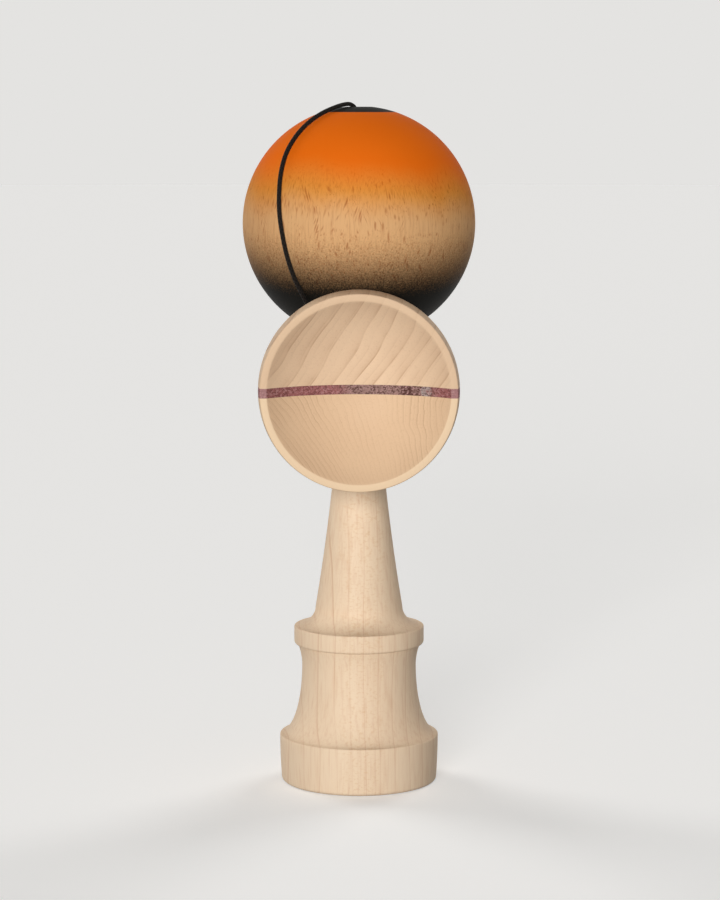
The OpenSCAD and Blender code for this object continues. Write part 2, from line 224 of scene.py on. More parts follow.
class Value:
    """Socket of a finish that takes part in arithmetic by adding Math nodes."""

    def __init__(self, finish, socket):
        self.finish = finish
        self.socket = socket

    def maths(self, operation, *others):
        """Math node on this value and others."""
        return self.finish.maths(operation, self, *others)

    def __add__(self, other):
        return self.maths("ADD", other)

    def __radd__(self, other):
        return self.maths("ADD", other)

    def __sub__(self, other):
        return self.maths("SUBTRACT", other)

    def __rsub__(self, other):
        return self.finish.maths("SUBTRACT", other, self)

    def __mul__(self, other):
        return self.maths("MULTIPLY", other)

    def __rmul__(self, other):
        return self.maths("MULTIPLY", other)

    def __truediv__(self, other):
        return self.maths("DIVIDE", other)

    def __rtruediv__(self, other):
        return self.finish.maths("DIVIDE", other, self)


class Nodes:
    """Node tree whose nodes are added one by one."""

    def __init__(self, tree):
        self.tree = tree

    def add(self, kind, settings=None, sockets=None, output=0):
        """Add a node, set it up, feed its sockets and give one of its outputs."""
        node = self.tree.nodes.new(kind)
        for name, setting in (settings or {}).items():
            setattr(node, name, setting)
        for name, value in (sockets or {}).items():
            self.feed(node.inputs[name], value)
        return Value(self, node.outputs[output])

    def feed(self, socket, value):
        """Link a socket to a value, or set it to a number or a colour."""
        if isinstance(value, Value):
            self.tree.links.new(value.socket, socket)
        else:
            socket.default_value = value

    def maths(self, operation, *values):
        """Math node on values and numbers."""
        return self.add("ShaderNodeMath", {"operation": operation}, dict(enumerate(values)))

    def ray(self, kind):
        """1 for light rays of a kind, such as Camera, and 0 for others."""
        return self.add("ShaderNodeLightPath", output=f"Is {kind} Ray")


class Finish(Nodes):
    """Material on a principled shader."""

    def __init__(self, name, **constants):
        self.material = bpy.data.materials.new(name)
        self.material.use_nodes = True
        super().__init__(self.material.node_tree)
        self.shader = self.tree.nodes["Principled BSDF"]
        self.surface({name.replace("_", " "): value for name, value in constants.items()})

    def surface(self, sockets):
        """Feed sockets of the shader."""
        for name, value in sockets.items():
            self.feed(self.shader.inputs[name], value)

    def rising(self, value, low, high):
        """Smooth step from 0 at low to 1 at high."""
        return self.add("ShaderNodeMapRange", {"interpolation_type": "SMOOTHSTEP"},
                        {0: value, 1: low, 2: high, 3: 0.0, 4: 1.0})

    def between(self, value, low, high, soft):
        """1 from low to high and 0 elsewhere, with soft ends."""
        past_low = self.rising(value, low - soft, low + soft)
        past_high = self.rising(value, high - soft, high + soft)
        return past_low * (1 - past_high)

    def mix(self, share, first, second, blend="MIX"):
        """Colour that goes from the first to the second by a share."""
        first, second = (tint if isinstance(tint, Value) else opaque(tint) for tint in (first, second))
        return self.add("ShaderNodeMix", {"data_type": "RGBA", "blend_type": blend},
                        {0: share, 6: first, 7: second}, output=2)

    def place(self, cell=(1, 1, 1), shift=(0, 0, 0)):
        """Object coordinates, counted in cells of a given size and shifted."""
        here = self.add("ShaderNodeTexCoord", output="Object")
        return self.add("ShaderNodeMapping", {"vector_type": "POINT"},
                        {"Vector": here, "Scale": [1 / side for side in cell], "Location": shift})

    def split(self, vector):
        """The three parts of a vector."""
        node = self.add("ShaderNodeSeparateXYZ", sockets={0: vector}).socket.node
        return [Value(self, output) for output in node.outputs]

    def noise(self, vector, detail=2.0, roughness=0.5, output=0):
        """Soft noise with features of size 1."""
        return self.add("ShaderNodeTexNoise", sockets={"Vector": vector, "Scale": 1.0, "Detail": detail,
                                                       "Roughness": roughness}, output=output)

    def cells(self, vector):
        """Distance to the middle of a random cell of size 1, and the cell's random number."""
        near = self.add("ShaderNodeTexVoronoi", {"feature": "F1"}, {"Vector": vector, "Scale": 1.0})
        tint = Value(self, near.socket.node.outputs["Color"])
        return near, self.split(tint)[0]

    def relief(self, height, depth):
        """Bump of a given depth in metres on the surface's normal."""
        bump = self.add("ShaderNodeBump", sockets={"Strength": 1.0, "Distance": depth, "Height": height})
        self.surface({"Normal": bump})


def stretched(across, along, axis):
    """Cell of a pattern with features of one size across an axis and another along it."""
    return [along if name == axis else across for name in "XYZ"]


def even(size):
    """Cell of a pattern with features of one size all round."""
    return (size, size, size)


def fibres(finish, across, along, axis):
    """Fine streaks along an axis, from fibres of a given width and length."""
    return finish.noise(finish.place(stretched(across, along, axis)), detail=3.0, roughness=0.6)


def pores(finish, here, full, fade, share):
    """Small marks in a share of the cells of size 1, fading out between two radii."""
    near, pick = finish.cells(here)
    return (1 - finish.rising(near, full, fade)) * finish.rising(pick, 1 - share, 1.15 - share)


def growth_lines(finish, ring, spacing, width):
    """Thin late wood lines, and the slow darkening of each year's growth towards its line."""
    phase = (ring / spacing).maths("FRACT")
    before_next = 1 - finish.rising(phase, 1 - width / 2, 1.0)
    line = finish.rising(phase, 1 - 2 * width, 1 - width) * before_next
    return line, phase * phase * before_next


def maple_tint(finish, wood, dark, axis, ring_of, spacing, line_depth, band_depth):
    """Colour of pale wood with its grain along an axis and growth lines where ring_of says."""
    wander = finish.noise(finish.place(stretched(17 * MM, 45 * MM, axis)), detail=1.5) - 0.5
    ring, strength = ring_of(finish, wander)
    line, band = growth_lines(finish, ring, spacing, width=0.055)
    faint, faint_band = growth_lines(finish, ring + 0.4 * spacing, 0.53 * spacing, width=0.09)
    uneven = finish.rising(finish.noise(finish.place(stretched(9 * MM, 30 * MM, axis))), 0.36, 0.62)
    fine = fibres(finish, 0.4 * MM, 12 * MM, axis)
    cloud = finish.noise(finish.place(stretched(20 * MM, 50 * MM, axis)), detail=1.0)
    depth = (line * (uneven * 0.75 + 0.25) + faint * uneven * 0.35) * line_depth
    depth = depth + (band + faint_band * 0.3) * (uneven * 0.5 + 0.5) * band_depth
    streaks = finish.rising(fine, 0.5, 0.8) * 0.18
    shade = finish.rising(cloud, 0.35, 0.75) * 0.1
    tint = wood
    for share in (depth * strength, streaks, shade):
        tint = finish.mix(share, tint, dark)
    finish.surface({"Roughness": fine * 0.2 + 0.42})
    finish.relief(fine - line * 0.5, 0.02 * MM)
    return tint


def handle_finish(colours):
    """Satin maple with upright growth lines, and small ray flecks down the middle of its front and back."""
    finish = Finish("handle_maple", Specular_IOR_Level=0.12)
    tint = maple_tint(finish, colours.maple, colours.maple_line, "Z", handle_rings, spacing=3.9 * MM,
                      line_depth=0.32, band_depth=0.07)
    threads = finish.noise(finish.place(stretched(0.8 * MM, 9 * MM, "Z")), detail=2.0)
    tint = finish.mix(finish.rising(threads, 0.45, 0.75) * 0.24, tint, colours.maple_line)
    x = finish.split(finish.place())[0]
    middle = 1 - finish.rising((x - 1 * MM).maths("ABSOLUTE"), 2 * MM, 9 * MM)
    rays = finish.noise(finish.place((0.9 * MM, 5 * MM, 0.55 * MM)), detail=1.5)
    tint = finish.mix(finish.rising(rays, 0.5, 0.72) * middle * 0.34, tint, colours.maple_fleck)
    finish.surface({"Base Color": tint})
    return finish.material


def cup_rims(finish):
    """1 on the flat rims of the cups and 0 elsewhere."""
    y = finish.split(finish.place())[1]
    rim_s = SARADO_LEN / 2
    return finish.rising(y.maths("ABSOLUTE"), rim_s - 0.12 * MM, rim_s - 0.04 * MM)


def cup_finish(name, colours, wood, rim_wood_and_painted_light, ring_of, spacing, line_depth, band_depth):
    """Satin maple with its grain along the crosspiece, end grain in the cups and sanded rims whose colour is
    partly painted light.
    """
    finish = Finish(name, Specular_IOR_Level=0.12)
    tint = maple_tint(finish, wood, colours.cup_line, "Y", ring_of, spacing, line_depth, band_depth)
    # The rims' colour holds painted light: painted shade on the upper half and painted light on the lower
    # half.
    finish.surface({"Base Color": finish.mix(cup_rims(finish) * 0.8, tint, rim_wood_and_painted_light)})
    return finish.material


def handle_rings(finish, wander):
    """Upright growth lines, a little askew to the handle's front."""
    x, y = finish.split(finish.place())[:2]
    return x + y * 0.1 + wander * (3 * MM), 1.0


def upper_rings(finish, wander):
    """Growth rings round a far centre at the upper left of the big cup."""
    centre_left, centre_up = 123 * MM, 86 * MM
    x, _, z = finish.split(finish.place(shift=(centre_left, 0, -centre_up - SARADO_Z)))
    wave = (z * 330 - x * 110 + wander * 4).maths("SINE")
    return (x * x + z * z).maths("SQRT") + wander * (3 * MM) + wave * (0.5 * MM), 1.0


def lower_rings(finish, wander):
    """Uneven growth lines that fan out from a point below the big cup, and fade in its middle."""
    fan_right, fan_depth = 20 * MM, 60 * MM
    x, _, z = finish.split(finish.place(shift=(-fan_right, 0, fan_depth - SARADO_Z)))
    ripple = finish.noise(finish.place(stretched(6 * MM, 30 * MM, "Y")), detail=2.0) - 0.5
    away = finish.rising((x + 18 * MM).maths("ABSOLUTE"), 3 * MM, 14 * MM)
    return x / z * fan_depth + wander * (5.5 * MM) + ripple * (2.5 * MM), away * 0.55 + 0.45


def stripe_finish(colours):
    """Wine-red hardwood with dark pores and pale rays, greyer in its middle, with a dark knot in front."""
    finish = Finish("stripe_hardwood", Specular_IOR_Level=0.12)
    pick = finish.cells(finish.place(stretched(0.3 * MM, 6 * MM, "Y")))[1]
    grain = fibres(finish, 1.2 * MM, 12 * MM, "Y")
    x, y = finish.split(finish.place())[:2]
    front = finish.rising(y * -1, 0.0, 5 * MM)
    drift = x + (grain - 0.5) * (6 * MM)
    grey = finish.between(drift, -4 * MM, 17.8 * MM, 2.5 * MM)
    knot = finish.between(drift, 10.5 * MM, 14.6 * MM, 1.2 * MM) * front
    pale = finish.between(drift, 15.2 * MM, 17.4 * MM, 0.6 * MM) * front
    tint = finish.mix(grey * 0.75, colours.stripe, colours.stripe_grey)
    tint = finish.mix(pale * 0.8, tint, colours.stripe_patch)
    tint = finish.mix(finish.rising(pick, 0.6, 1.0) * 0.5, tint, colours.stripe_pale)
    dark = (1 - finish.rising(pick, 0.1, 0.55)) * (grey * 0.3 + 0.5)
    streaks = finish.rising(grain, 0.5, 0.75) * 0.3
    for share in (dark, streaks, knot * (1 - finish.rising(pick, 0.5, 0.9)) * 0.8):
        tint = finish.mix(share, tint, colours.stripe_dark)
    tint = finish.mix(cup_rims(finish) * 0.4, tint, colours.stripe_pale)
    finish.surface({"Base Color": tint, "Roughness": grain * 0.2 + 0.45})
    finish.relief(pick, 0.01 * MM)
    return finish.material


def bent_place(finish, size, shift, cell):
    """Coordinates in cells of a given size, which wander sideways by up to half of shift."""
    here = finish.place()
    bend = finish.noise(finish.place(even(size)), detail=0.0, output="Color")
    bent = finish.add("ShaderNodeVectorMath", {"operation": "MULTIPLY_ADD"},
                      {0: bend, 1: (shift, shift, 0), 2: here})
    return finish.add("ShaderNodeVectorMath", {"operation": "DIVIDE"}, {0: bent, 1: cell})


def beech_tint(finish, colours, z):
    """Bare beech: fine upright fibres, short brown pores, and dots where the ball shows more end grain."""
    fine = fibres(finish, 0.45 * MM, 8 * MM, "Z")
    cloud = finish.noise(finish.place(stretched(16 * MM, 40 * MM, "Z")), detail=2.0)
    dash_cells = bent_place(finish, 12 * MM, 9 * MM, (0.75 * MM, 0.75 * MM, 4.2 * MM))
    thin_cells = bent_place(finish, 9 * MM, 7 * MM, (0.42 * MM, 0.42 * MM, 5 * MM))
    dot_cells = bent_place(finish, 7 * MM, 3 * MM, (0.62 * MM, 0.62 * MM, 0.8 * MM))
    dashes = pores(finish, dash_cells, full=0.05, fade=0.5, share=0.36)
    thin = pores(finish, thin_cells, full=0.05, fade=0.45, share=0.5)
    end_grain = finish.rising(z * -1, -1 * MM, 8 * MM)
    dots = pores(finish, dot_cells, full=0.12, fade=0.45, share=0.65) * end_grain
    streaks = finish.rising(fine, 0.42, 0.75) * 0.3
    shade = finish.rising(cloud, 0.45, 0.8) * 0.16
    wood = colours.beech
    for share in (streaks, shade, dashes * 0.68, thin * 0.45, dots * 0.62):
        wood = finish.mix(share, wood, colours.beech_fleck)
    return wood, fine, cloud


def tama_finish(colours, size, centre_z):
    """Beech with orange sprayed on above, through amber, black below whose rise at the sides is partly
    painted shade, and a black cap.
    """
    finish = Finish("tama_lacquer", Specular_IOR_Level=0.04)
    x, y, z = finish.split(finish.place(shift=(0, 0, -centre_z)))
    wood, fine, cloud = beech_tint(finish, colours, z)
    grit = finish.noise(finish.place(even(MM / 2.7)), detail=1.0)
    height = z + (cloud - 0.5) * (6 * MM) + x * 0.05
    glaze = finish.rising(height, size.amber_low, size.amber_high)
    tint = finish.mix(glaze, wood, colours.amber, "MULTIPLY")
    paint = finish.rising(height, size.orange_low, size.orange_high)
    tint = finish.mix(paint, tint, colours.orange)
    # The black climbs with x squared at the ball's left and right. This is partly the paint's uneven edge
    # and partly painted shade on the sides that turn from the light.
    side_climb_and_shade = x * x * 2.2
    depth = side_climb_and_shade - z + (grit - 0.5) * (7 * MM)
    black_fade_and_side_shade = finish.rising(depth, size.black_high, size.black_low)
    tint = finish.mix(black_fade_and_side_shade, tint, colours.black)
    reach = (x * x + y * y).maths("SQRT")
    soft = 0.1 * MM
    cap = (1 - finish.rising(reach, size.cap_r - soft, size.cap_r + soft)) * finish.rising(z, 0.0, soft)
    tint = finish.mix(cap, tint, colours.black)
    finish.surface({"Base Color": tint, "Roughness": grit * 0.1 + 0.5})
    finish.relief(fine, 0.015 * MM)
    return finish.material


def bead_finish(colours):
    """Plain turned wood."""
    finish = Finish("bead_turned", Specular_IOR_Level=0.2)
    fine = fibres(finish, 0.4 * MM, 5 * MM, "Z")
    tint = finish.mix(finish.rising(fine, 0.4, 0.75) * 0.5, colours.bead, colours.beech_fleck)
    finish.surface({"Base Color": tint, "Roughness": fine * 0.2 + 0.4})
    finish.relief(fine, 0.03 * MM)
    return finish.material


def cord_finish(colours):
    """Thin braid, whose strands cross along the string's own map, with a painted highlight on their crests.
    """
    finish = Finish("string_braid", Specular_IOR_Level=0.08, Sheen_Weight=0.04, Sheen_Roughness=0.5)
    u, v = finish.split(finish.add("ShaderNodeUVMap", {"uv_map": "braid"}))[:2]
    around = u * (4 * 2 * math.pi)
    along = v * (2.6 * 2 * math.pi)
    left = (around + along).maths("SINE")
    right = (around - along).maths("SINE")
    strand = left.maths("MAXIMUM", right) * 0.5 + 0.5
    hair = finish.noise(finish.place(even(0.2 * MM)), detail=1.0)
    # Painted highlight: the crests of the strands take the lighter strand colour.
    tint = finish.mix(finish.rising(strand, 0.55, 1.0) * (hair * 0.9 + 0.1), colours.cord,
                      colours.cord_strand_highlight)
    finish.surface({"Base Color": tint, "Roughness": hair * 0.2 + 0.6})
    finish.relief(strand + hair * 0.4, 0.09 * MM)
    return finish.material


def steps(first, last, count):
    """Evenly spaced values, both ends among them."""
    return [first + (last - first) * i / count for i in range(count + 1)]


def arc(centre, radii, start, end, count):
    """Points of an elliptical arc between two angles in degrees."""
    angles = [math.radians(a) for a in steps(start, end, count)]
    return [(centre[0] + radii[0] * math.cos(a), centre[1] + radii[1] * math.sin(a)) for a in angles]


def bowl(mouth, depth):
    """Round hollow from its bottom to its mouth, as (radius, depth below the mouth)."""
    ball = (mouth ** 2 + depth ** 2) / (2 * depth)
    half = math.asin(mouth / ball)
    return [(ball * math.sin(a), ball * math.cos(a) - (ball - depth)) for a in steps(0, half, CURVE_STEPS)]


def blend_curve(low, high, count):
    """Outline between two points, each given as (radius, height, slope), without the first one."""
    r0, z0, m0 = low
    r1, z1, m1 = high
    rise = z1 - z0
    points = []
    for t in steps(0, 1, count)[1:]:
        radius = ((2 * t ** 3 - 3 * t ** 2 + 1) * r0 + (t ** 3 - 2 * t ** 2 + t) * rise * m0
                  + (3 * t ** 2 - 2 * t ** 3) * r1 + (t ** 3 - t ** 2) * rise * m1)
        points.append((radius, z0 + rise * t))
    return points


def turned(outline, rounded, closed, axis_matrix=Matrix()):
    """Solid of revolution about Z, moved by a matrix.

    The outline is a list of (radius, height), and rounded maps the index of a corner to its rounding.
    """
    bm = bmesh.new()
    verts = [bm.verts.new((radius, 0, height)) for radius, height in outline]
    pairs = zip(verts, verts[1:] + verts[:1]) if closed else zip(verts, verts[1:])
    for first, second in pairs:
        bm.edges.new((first, second))
    for index, rounding in rounded.items():
        bmesh.ops.bevel(bm, geom=[verts[index]], offset=rounding, affect="VERTICES", segments=EDGE_STEPS,
                        profile=0.5, material=-1)
    bmesh.ops.spin(bm, geom=bm.verts[:] + bm.edges[:], cent=(0, 0, 0), axis=(0, 0, 1), dvec=(0, 0, 0),
                   angle=2 * math.pi, steps=SPIN_STEPS, use_merge=True)
    bmesh.ops.remove_doubles(bm, verts=bm.verts[:], dist=MERGE_DIST)
    bmesh.ops.transform(bm, matrix=axis_matrix, verts=bm.verts[:])
    bmesh.ops.recalc_face_normals(bm, faces=bm.faces[:])
    return bm


def piece(name, bm, material):
    """Object at the origin from a bmesh, smooth with its sharp edges kept."""
    mesh = bpy.data.meshes.new(name)
    bm.to_mesh(mesh)
    bm.free()
    obj = bpy.data.objects.new(name, mesh)
    bpy.context.collection.objects.link(obj)
    mesh.materials.append(material)
    mesh.shade_smooth()
    mesh.set_sharp_from_angle(angle=SHARP_ANGLE)
    return obj


def settle(obj, body, node):
    """Let a rigid piece ride on a body in place of a node."""
    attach(obj, body)
    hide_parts(node)


def cut(bm, cutters):
    """Mesh of bm less the cutters, each a bmesh too."""
    body = piece("cut_body", bm, None)
    tools = [piece("cut_tool", cutter, None) for cutter in cutters]
    for tool in tools:
        modifier = body.modifiers.new("cut", "BOOLEAN")
        modifier.operation = "DIFFERENCE"
        modifier.solver = "EXACT"
        modifier.object = tool
    result = bmesh.new()
    result.from_object(body, bpy.context.evaluated_depsgraph_get())
    bmesh.ops.dissolve_degenerate(result, dist=MERGE_DIST, edges=result.edges[:])
    for obj in (body, *tools):
        mesh = obj.data
        bpy.data.objects.remove(obj)
        bpy.data.meshes.remove(mesh)
    return result


def cone(low, high, low_r, high_r, segments=HOLE_STEPS):
    """Closed cone between two points on its axis."""
    low, high = Vector(low), Vector(high)
    along = high - low
    matrix = Matrix.Translation((low + high) / 2) @ along.to_track_quat("Z", "Y").to_matrix().to_4x4()
    bm = bmesh.new()
    bmesh.ops.create_cone(bm, cap_ends=True, segments=segments, radius1=low_r, radius2=high_r,
                          depth=along.length, matrix=matrix)
    return bm


def spline(points, count):
    """Smooth curve through the points of a route, with count steps between two of them."""
    points = [Vector(p) for p in points]
    padded = [points[0], *points, points[-1]]
    curve = []
    for p0, p1, p2, p3 in zip(padded, padded[1:], padded[2:], padded[3:]):
        for t in steps(0, 1, count)[:-1]:
            curve.append(0.5 * (2 * p1 + (p2 - p0) * t + (2 * p0 - 5 * p1 + 4 * p2 - p3) * t ** 2
                                + (3 * p1 - p0 - 3 * p2 + p3) * t ** 3))
    return curve + [points[-1]]


def path_length(path):
    """Length of a path of points."""
    return sum((b - a).length for a, b in zip(path, path[1:]))


def frames_along(path):
    """Matrices along a path, with Z forward and no twist from one to the next."""
    last = len(path) - 1
    matrices = []
    side = None
    for i, point in enumerate(path):
        forward = (path[min(i + 1, last)] - path[max(i - 1, 0)]).normalized()
        side = side or forward.orthogonal()
        side = (side - forward * side.dot(forward)).normalized()
        across = forward.cross(side)
        matrices.append(Matrix.Translation(point) @ Matrix((side, across, forward)).transposed().to_4x4())
    return matrices


def add_tube(bm, path, diameter):
    """Add a closed tube along a path, with a map round and along it for its braid."""
    radius = diameter / 2
    matrices = frames_along(path)
    mapping = bm.loops.layers.uv["braid"]
    ring = bmesh.ops.create_circle(bm, cap_ends=True, segments=TUBE_SIDES, radius=radius,
                                   matrix=matrices[0])["verts"]
    edges = list({edge for vert in ring for edge in vert.link_edges})
    place = {vert: 0 for vert in ring}
    for i in range(1, len(matrices)):
        made = bmesh.ops.extrude_edge_only(bm, edges=edges)["geom"]
        ring = [item for item in made if isinstance(item, bmesh.types.BMVert)]
        fresh = set(ring)
        new_edges = [item for item in made if isinstance(item, bmesh.types.BMEdge)]
        edges = [edge for edge in new_edges if fresh.issuperset(edge.verts)]
        bmesh.ops.transform(bm, matrix=matrices[i] @ matrices[i - 1].inverted(), verts=ring)
        place.update({vert: i for vert in ring})
    bmesh.ops.contextual_create(bm, geom=edges)
    distance = [0.0]
    for a, b in zip(path, path[1:]):
        distance.append(distance[-1] + (b - a).length)
    for face in {face for vert in place for face in vert.link_faces}:
        angles = []
        for loop in face.loops:
            local = matrices[place[loop.vert]].inverted() @ loop.vert.co
            angles.append(math.atan2(local.y, local.x) / (2 * math.pi) % 1)
        wraps = max(angles) - min(angles) > 0.5
        for loop, angle in zip(face.loops, angles):
            around = angle + 1 if wraps and angle < 0.5 else angle
            loop[mapping].uv = (around, distance[place[loop.vert]] / (2 * math.pi * radius))


def cord_piece(name, tubes, material):
    """Piece of string from tubes, each a path and a diameter."""
    bm = bmesh.new()
    bm.loops.layers.uv.new("braid")
    for path, diameter in tubes:
        add_tube(bm, path, diameter)
    bmesh.ops.recalc_face_normals(bm, faces=bm.faces[:])
    return piece(name, bm, material)


# Angle left of the front at which the string leaves the ball's top hole, and the shares of the
# countersink's width at which it lies over the cone
LEAVE_ANGLE = 54
LEAVE_SHARES = (0.25, 0.8)
# Route of the string over the ball, as (latitude, angle left of the front) in degrees
OVER_TAMA = [
    (83, 53), (76, 50), (66, 50), (56, 50), (46, 49), (36, 47.5), (26, 45), (16, 42.5), (6, 40.5),
    (-4, 38.5), (-14, 37), (-24, 35.5), (-32, 34), (-37, 33.5),
]
# Free stretch from the ball to the barrel, in metres, with heights above the sarado's axis
TO_BARREL = [
    (-0.0125, -0.0200, 0.0196), (-0.0123, -0.0200, 0.0168), (-0.0129, -0.0206, 0.0140),
    (-0.0142, -0.0216, 0.0112), (-0.0156, -0.0224, 0.0082), (-0.0166, -0.0228, 0.0054),
]
# Stretch along the barrel from the winding to the side hole, in the same terms
SIDE_DROP = SARADO_Z - SIDE_HOLE_Z
ALONG_BARREL = [
    (-0.0142, -0.0169, -0.0028), (-0.0135, -0.0152, -0.0041), (-0.0130, -0.0126, -SIDE_DROP),
    (-0.0128, -0.0086, -SIDE_DROP), (-0.0128, -0.0048, -SIDE_DROP), (-0.0127, -0.0027, -SIDE_DROP),
    (-0.0122, -0.0013, -SIDE_DROP), (-0.0113, -0.0004, -SIDE_DROP), (-0.0100, 0, -SIDE_DROP),
]
# Rest of its way through the handle's hole to the knot, by its distances from the axis
IN_HANDLE = [-0.0060, -0.0025, KEN_KNOT_LOW.x]
# Middle of the upright link between the handle's hole and the crosspiece's
LINK_X = -0.00695
WIND_TURNS = 3
TURN_STEPS = 48
ROUTE_STEPS = 8
TUBE_SIDES = 12
KNOT_STEPS = 50
# Length of a stretch of the run just above the winding
FREE_STRETCH = 0.020


def tama_centre_z(size):
    """Height of the ball's centre, from the edge of its mouth."""
    mouth_r = size.hole_r + size.bevel_w
    return TAMA_LOW.z + math.sqrt(TAMA_R ** 2 - mouth_r ** 2)


def wound(sarado, string, turns):
    """Centre of the string in the cove behind the big cup, after a count of turns from the left side."""
    half = sarado.barrel_len / 2
    shoulder_s = SARADO_LEN / 2 - sarado.cup_wall
    cove_len = shoulder_s - half
    reach = sarado.big_shoulder_r - sarado.barrel_r
    s = shoulder_s - string.wind_inset - string.wind_pitch * turns
    share = (s - half) / cove_len
    root = math.sqrt(1 - share ** 2)
    slope = reach * share / cove_len / root
    lift = (string.diameter / 2 + string.lay_gap) / math.hypot(1, slope)
    radius = sarado.big_shoulder_r - reach * root + lift
    angle = 2 * math.pi * turns
    return Vector((-radius * math.cos(angle), -(s - lift * slope), SARADO_Z - radius * math.sin(angle)))


def left_of_front(flat, angle, z):
    """Point at a distance from the ball's axis, at an angle left of the front and a height."""
    side = math.radians(angle)
    return Vector((-flat * math.sin(side), -flat * math.cos(side), z))


def run_points(tama, sarado, string):
    """Route from the knot under the bead, out of the ball, over it and down to the winding."""
    centre_z = tama_centre_z(tama)
    top_z = centre_z + TAMA_R
    top_hole_z = top_z - 2 * string.sink_w
    lay_r = string.diameter / 2 + string.lay_gap
    inside = [KNOT_HIGH.z, KNOT_HIGH.z + string.diameter, BEAD_HIGH.z]
    inside += [(BEAD_HIGH.z + top_hole_z) / 2, top_hole_z]
    points = [Vector((0, 0, z)) for z in inside]
    lift = lay_r / math.sqrt(2)
    for share in LEAVE_SHARES:
        flat = string.hole_r + share * string.sink_w - lift
        points.append(left_of_front(flat, LEAVE_ANGLE, top_z - (1 - share) * string.sink_w + lift))
    for latitude, left in OVER_TAMA:
        up = math.radians(latitude)
        reach = TAMA_R + lay_r
        points.append(left_of_front(reach * math.cos(up), left, centre_z + reach * math.sin(up)))
    points += [Vector((x, y, z + SARADO_Z)) for x, y, z in TO_BARREL]
    start = wound(sarado, string, 0)
    down = Vector((0, 0, string.diameter))
    return points + [start + 2 * down, start + down]


def winding_points(sarado, string):
    """Turns behind the big cup, from the end of the run to the start of the tail."""
    step = Vector((0, 0, string.diameter))
    turns = [wound(sarado, string, i / TURN_STEPS) for i in range(WIND_TURNS * TURN_STEPS + 1)]
    return [turns[0] + step, *turns, turns[-1] - step]


def in_side_hole(x, up=0):
    """Point on the axis of the side hole, or above it."""
    return Vector((x, 0, SIDE_HOLE_Z + up))


def tail_points(sarado, string):
    """Route from the winding along the barrel and through the side hole to the knot in the handle."""
    start = wound(sarado, string, WIND_TURNS) - Vector((0, 0, string.diameter))
    along = [Vector((x, y, z + SARADO_Z)) for x, y, z in ALONG_BARREL]
    return [start, *along, *(in_side_hole(x) for x in IN_HANDLE)]


def tail_tubes(tail, string):
    """Tail as three tubes: on the crosspiece, the upright link and in the handle."""
    outer_x = LINK_X - string.link_d / 2
    inner_x = LINK_X + string.link_d / 2
    on_sarado = [point for point in tail if point.x < outer_x] + [in_side_hole(outer_x)]
    in_ken = [in_side_hole(inner_x)] + [point for point in tail if point.x > inner_x]
    link = [in_side_hole(LINK_X, -string.link_h / 2), in_side_hole(LINK_X, string.link_h / 2)]
    return [(on_sarado, string.diameter), (link, string.link_d), (in_ken, string.diameter)]


def knot_path(start, end, width, strand):
    """Path of a tight overhand knot of a given width, most of a trefoil, from start to a free end."""
    along = (end - start).normalized()
    side = along.orthogonal()
    across = along.cross(side)
    swing = 0.4
    loop_r = (width - strand) / 2 / (1 + swing)
    rise = (end - start).length / 2 - strand
    points = [start]
    for angle in steps(30, 330, KNOT_STEPS):
        turn = math.radians(angle)
        radius = loop_r * (1 + swing * math.cos(3 * turn))
        flat = side * (radius * math.cos(2 * turn)) + across * (radius * math.sin(2 * turn))
        points.append((start + end) / 2 + flat - along * (rise * math.sin(3 * turn)))
    return spline(points + [end], 2)


# Camera that sees the kendama as in the photograph: its place in metres, its pitch below level in degrees,
# its lens and sensor in millimetres and the end of its view in metres
CAMERA_PLACE = (0.00026, -0.710, 0.1748)
CAMERA_PITCH = 7.02
CAMERA_LENS = 109.76
CAMERA_SENSOR = 36
CAMERA_END = 50


class KENDAMA_OT_camera(bpy.types.Operator):
    """Add the camera at the photograph's viewing angle"""
    bl_idname = "kendama.camera"
    bl_label = "Camera"

    def execute(self, context):
        camera = bpy.data.cameras.new("camera")
        camera.sensor_width = CAMERA_SENSOR
        camera.lens = CAMERA_LENS
        camera.clip_end = CAMERA_END
        obj = bpy.data.objects.new("camera", camera)
        obj.location = CAMERA_PLACE
        obj.rotation_euler = (math.radians(90 - CAMERA_PITCH), 0, 0)
        context.collection.objects.link(obj)
        context.scene.camera = obj
        return {"FINISHED"}


